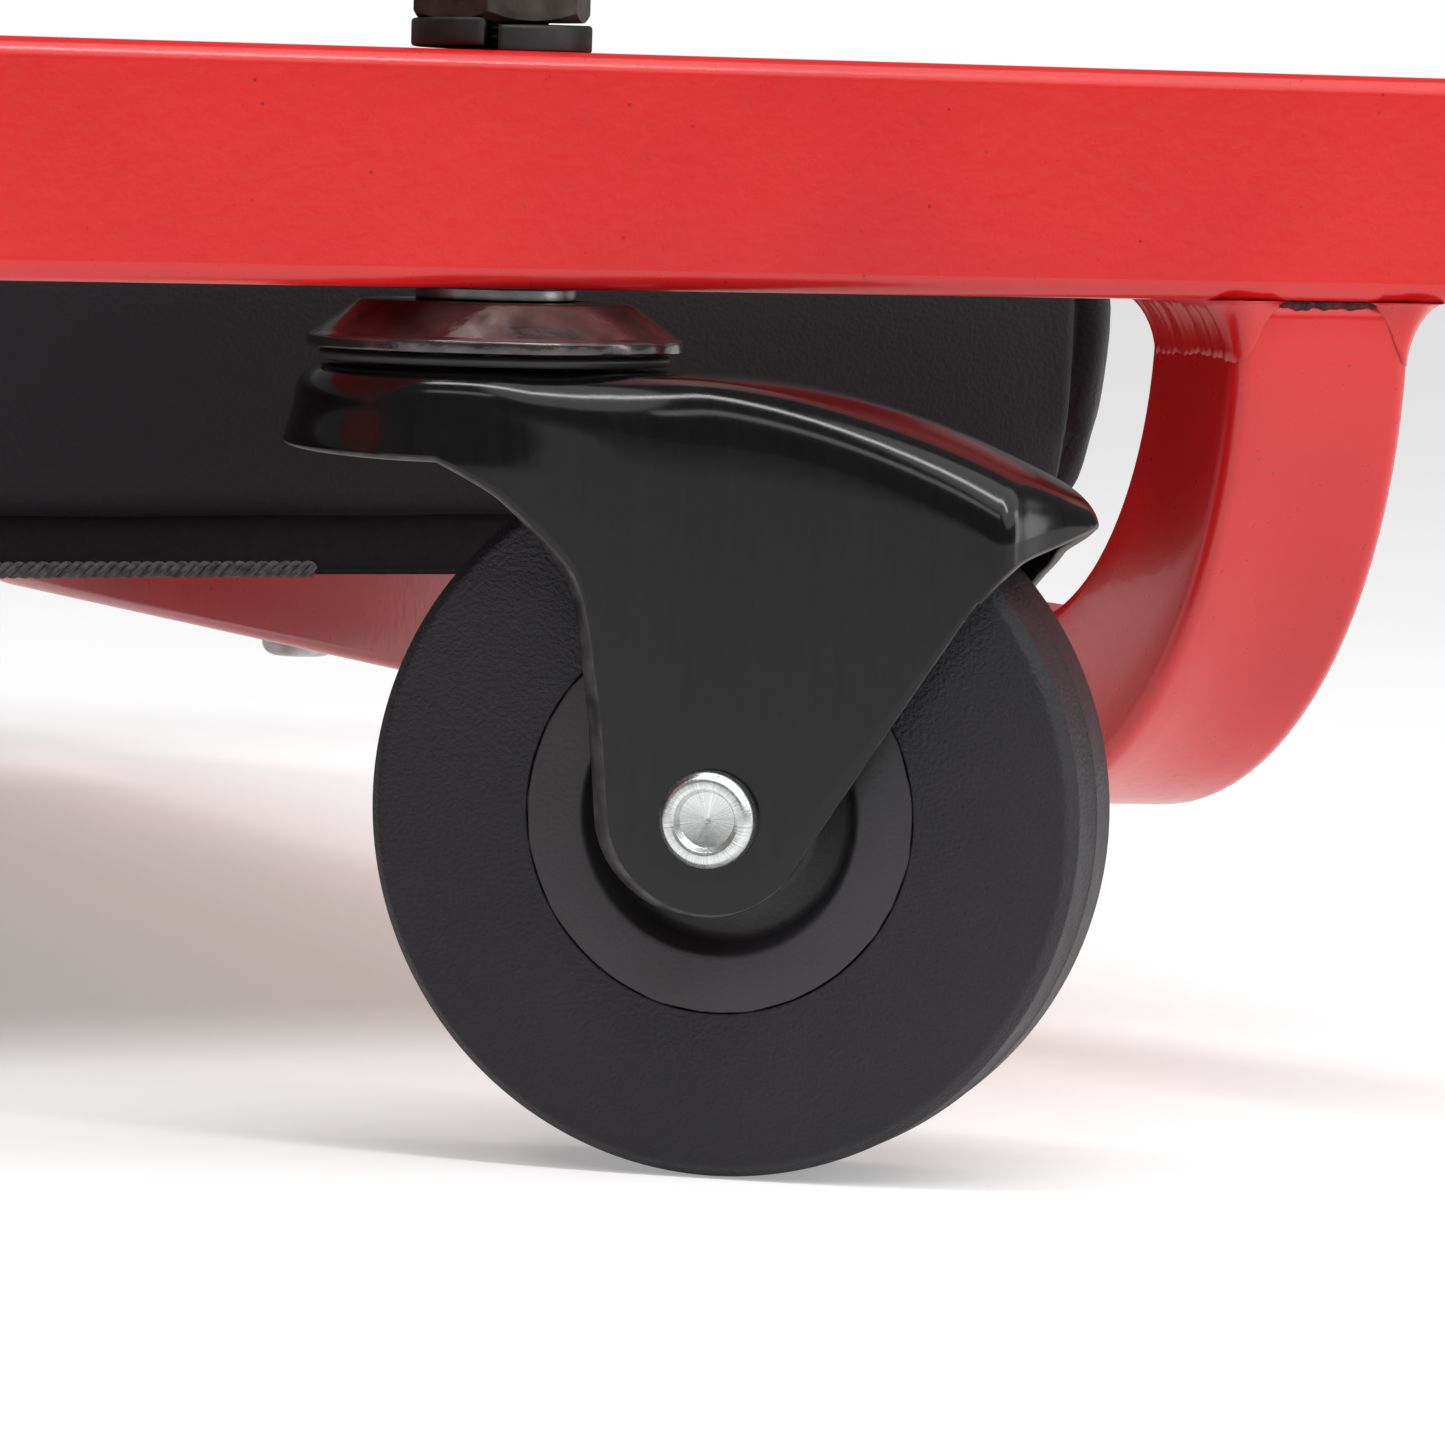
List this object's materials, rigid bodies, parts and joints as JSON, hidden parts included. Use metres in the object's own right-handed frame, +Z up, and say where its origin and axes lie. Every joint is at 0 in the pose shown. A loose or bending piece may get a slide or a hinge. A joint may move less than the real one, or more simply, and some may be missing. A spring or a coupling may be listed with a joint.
{
  "type": "mechanics creeper",
  "caption": "Low padded mechanics creeper: a deck slung on drop cross tubes between two side rails, with outboard swivel casters and a tilting headrest.",
  "frame": {"origin": "centre of the creeper's footprint, on the floor", "axes": "+X along the side rails towards the foot end, +Y across to the left-hand rail, +Z up"},
  "size_m": [1.016, 0.5878, 0.1348],
  "materials": {
    "red_powder_coat": "gloss",
    "black_vinyl": "satin",
    "plywood": "matte",
    "woven_backing": "matte",
    "black_gloss_steel": "gloss",
    "dark_plated_steel": "polished",
    "dark_zinc_steel": "satin",
    "black_oxide_steel": "satin",
    "black_spring_steel": "satin",
    "bright_zinc": "satin",
    "zinc_steel": "satin",
    "hinge_steel": "satin",
    "bearing_steel": "polished",
    "wheel_rubber": "matte",
    "hub_plastic": "satin",
    "black_plastic": "satin",
    "black_rubber": "matte"
  },
  "bodies": {
    "frame": {"side_rail_right": "red_powder_coat", "side_rail_left": "red_powder_coat", "cross_tube_foot": "red_powder_coat", "cross_tube_middle": "red_powder_coat", "cross_tube_head": "red_powder_coat", "weld_beads": "red_powder_coat", "rail_end_caps": "black_plastic", "body_board": "plywood", "body_cushion": "black_vinyl", "body_backing": "woven_backing", "pad_screws": "zinc_steel", "pad_spacers": "black_rubber", "tee_nuts": "zinc_steel", "headrest_bumpers": "black_rubber", "hinge_fixed_arms": "hinge_steel", "hinge_pivots": "zinc_steel", "body_arm_screws": "zinc_steel", "caster_stems": "black_oxide_steel", "stem_nuts": "black_oxide_steel", "lock_washers": "black_spring_steel", "spacer_washers": "dark_zinc_steel", "raceway_caps": "dark_plated_steel", "ball_cages": "black_plastic", "race_balls": "bearing_steel"},
    "headrest": {"headrest_board": "plywood", "headrest_cushion": "black_vinyl", "headrest_backing": "woven_backing", "hinge_moving_arms": "hinge_steel", "headrest_arm_screws": "zinc_steel"},
    "caster_foot_right": {"fork_foot_right": "black_gloss_steel", "axle_rivet_foot_right": "bright_zinc", "bush_foot_right": "bearing_steel"},
    "wheel_foot_right": {"hub_foot_right": "hub_plastic", "tyre_foot_right": "wheel_rubber"},
    "caster_foot_left": {"fork_foot_left": "black_gloss_steel", "axle_rivet_foot_left": "bright_zinc", "bush_foot_left": "bearing_steel"},
    "wheel_foot_left": {"hub_foot_left": "hub_plastic", "tyre_foot_left": "wheel_rubber"},
    "caster_middle_right": {"fork_middle_right": "black_gloss_steel", "axle_rivet_middle_right": "bright_zinc", "bush_middle_right": "bearing_steel"},
    "wheel_middle_right": {"hub_middle_right": "hub_plastic", "tyre_middle_right": "wheel_rubber"},
    "caster_middle_left": {"fork_middle_left": "black_gloss_steel", "axle_rivet_middle_left": "bright_zinc", "bush_middle_left": "bearing_steel"},
    "wheel_middle_left": {"hub_middle_left": "hub_plastic", "tyre_middle_left": "wheel_rubber"},
    "caster_head_right": {"fork_head_right": "black_gloss_steel", "axle_rivet_head_right": "bright_zinc", "bush_head_right": "bearing_steel"},
    "wheel_head_right": {"hub_head_right": "hub_plastic", "tyre_head_right": "wheel_rubber"},
    "caster_head_left": {"fork_head_left": "black_gloss_steel", "axle_rivet_head_left": "bright_zinc", "bush_head_left": "bearing_steel"},
    "wheel_head_left": {"hub_head_left": "hub_plastic", "tyre_head_left": "wheel_rubber"}
  },
  "joints": [
    {"name": "headrest_tilt", "type": "hinge", "parent": "frame", "child": "headrest", "pos_m": [-0.19, 0, 0.06015], "axis": [0, 1, 0], "range_deg": [0, 30]},
    {"name": "swivel_foot_right", "type": "hinge", "parent": "frame", "child": "caster_foot_right", "pos_m": [0.38, -0.245, 0.09315], "axis": [0, 0, 1], "continuous": true},
    {"name": "spin_foot_right", "type": "hinge", "parent": "caster_foot_right", "child": "wheel_foot_right", "pos_m": [0.40269, -0.26191, 0.0385], "axis": [0.5976, 0.8018, 0], "continuous": true},
    {"name": "swivel_foot_left", "type": "hinge", "parent": "frame", "child": "caster_foot_left", "pos_m": [0.38, 0.245, 0.09315], "axis": [0, 0, 1], "continuous": true},
    {"name": "spin_foot_left", "type": "hinge", "parent": "caster_foot_left", "child": "wheel_foot_left", "pos_m": [0.40269, 0.26191, 0.0385], "axis": [-0.5976, 0.8018, 0], "continuous": true},
    {"name": "swivel_middle_right", "type": "hinge", "parent": "frame", "child": "caster_middle_right", "pos_m": [0, -0.245, 0.09315], "axis": [0, 0, 1], "continuous": true},
    {"name": "spin_middle_right", "type": "hinge", "parent": "caster_middle_right", "child": "wheel_middle_right", "pos_m": [0.02269, -0.26191, 0.0385], "axis": [0.5976, 0.8018, 0], "continuous": true},
    {"name": "swivel_middle_left", "type": "hinge", "parent": "frame", "child": "caster_middle_left", "pos_m": [0, 0.245, 0.09315], "axis": [0, 0, 1], "continuous": true},
    {"name": "spin_middle_left", "type": "hinge", "parent": "caster_middle_left", "child": "wheel_middle_left", "pos_m": [0.02269, 0.26191, 0.0385], "axis": [-0.5976, 0.8018, 0], "continuous": true},
    {"name": "swivel_head_right", "type": "hinge", "parent": "frame", "child": "caster_head_right", "pos_m": [-0.38, -0.245, 0.09315], "axis": [0, 0, 1], "continuous": true},
    {"name": "spin_head_right", "type": "hinge", "parent": "caster_head_right", "child": "wheel_head_right", "pos_m": [-0.35731, -0.26191, 0.0385], "axis": [0.5976, 0.8018, 0], "continuous": true},
    {"name": "swivel_head_left", "type": "hinge", "parent": "frame", "child": "caster_head_left", "pos_m": [-0.38, 0.245, 0.09315], "axis": [0, 0, 1], "continuous": true},
    {"name": "spin_head_left", "type": "hinge", "parent": "caster_head_left", "child": "wheel_head_left", "pos_m": [-0.35731, 0.26191, 0.0385], "axis": [-0.5976, 0.8018, 0], "continuous": true}
  ]
}
